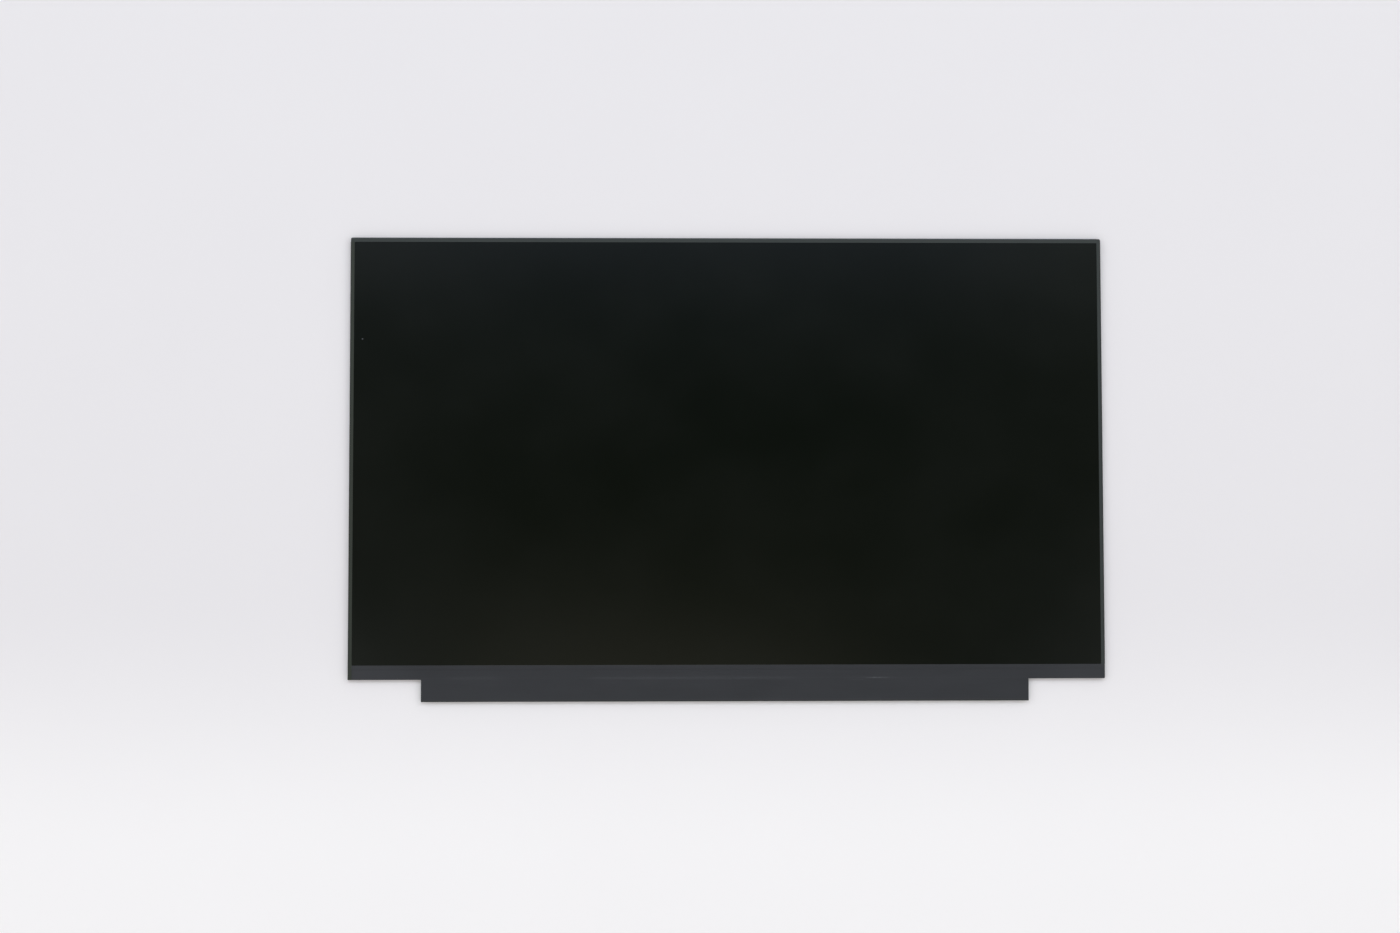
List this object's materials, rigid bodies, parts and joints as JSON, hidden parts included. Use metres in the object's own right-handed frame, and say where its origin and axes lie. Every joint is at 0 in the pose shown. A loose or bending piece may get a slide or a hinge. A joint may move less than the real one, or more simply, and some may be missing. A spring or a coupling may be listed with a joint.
{
  "type": "laptop screen panel",
  "caption": "Slim bare liquid-crystal screen panel for a laptop lid: matt black screen, thin taped rim, and a control board flap under dark cover tape along the lower edge.",
  "frame": {"origin": "middle of the picture area, on the plane that the stamped back cover rests on", "axes": "+X along the screen to the viewer's right, +Y up the picture, +Z out of the screen"},
  "size_m": [0.3506, 0.2156, 0.0025],
  "materials": {
    "cover_metal": "rolled satin sheet",
    "frame_plastic": "fine moulded black",
    "reflector_film": "white film",
    "guide_acrylic": "clear acrylic",
    "diffuser_film": "frosted film",
    "prism_film": "ribbed clear film",
    "led_body": "white moulding with a yellow window",
    "led_flex_film": "white coated flex",
    "dark_tape": "black film",
    "rear_polarizer_film": "grey film",
    "cell_glass": "thin polished glass",
    "screen_film": "anti-glare black",
    "driver_film": "amber film",
    "silicon": "bare die",
    "board_laminate": "green solder mask",
    "socket_plastic": "black moulding",
    "contact_metal": "gold flash",
    "shell_metal": "tinned sheet",
    "chip_plastic": "black moulding compound",
    "coil_ferrite": "grey ferrite",
    "diode_body": "black moulding compound",
    "fuse_ceramic": "white ceramic",
    "capacitor_ceramic": "tan ceramic with tinned ends",
    "resistor_ceramic": "black coat with tinned ends",
    "cover_tape_film": "dark grey satin film",
    "edge_tape_film": "dark grey satin film"
  },
  "bodies": {
    "root": {"back_cover": "cover_metal", "mould_frame": "frame_plastic", "reflector_sheet": "reflector_film", "light_guide": "guide_acrylic", "lower_diffuser": "diffuser_film", "lower_prism_sheet": "prism_film", "upper_prism_sheet": "prism_film", "upper_diffuser": "diffuser_film", "leds": "led_body", "led_flex": "led_flex_film", "shading_tape": "dark_tape", "rear_polarizer": "rear_polarizer_film", "array_glass": "cell_glass", "filter_glass": "cell_glass", "front_polarizer": "screen_film", "driver_films": "driver_film", "driver_chips": "silicon", "control_board": "board_laminate", "socket_housing": "socket_plastic", "socket_contacts": "contact_metal", "socket_shell": "shell_metal", "timing_chip": "chip_plastic", "memory_chip": "chip_plastic", "power_chip": "chip_plastic", "buffer_chip": "chip_plastic", "light_driver_chip": "chip_plastic", "power_coils": "coil_ferrite", "boost_coil": "coil_ferrite", "diodes": "diode_body", "fuse": "fuse_ceramic", "large_capacitors": "capacitor_ceramic", "small_capacitors": "capacitor_ceramic", "resistors": "resistor_ceramic", "cover_tape": "cover_tape_film", "top_edge_tape": "edge_tape_film", "left_edge_tape": "edge_tape_film", "right_edge_tape": "edge_tape_film"}
  },
  "joints": []
}
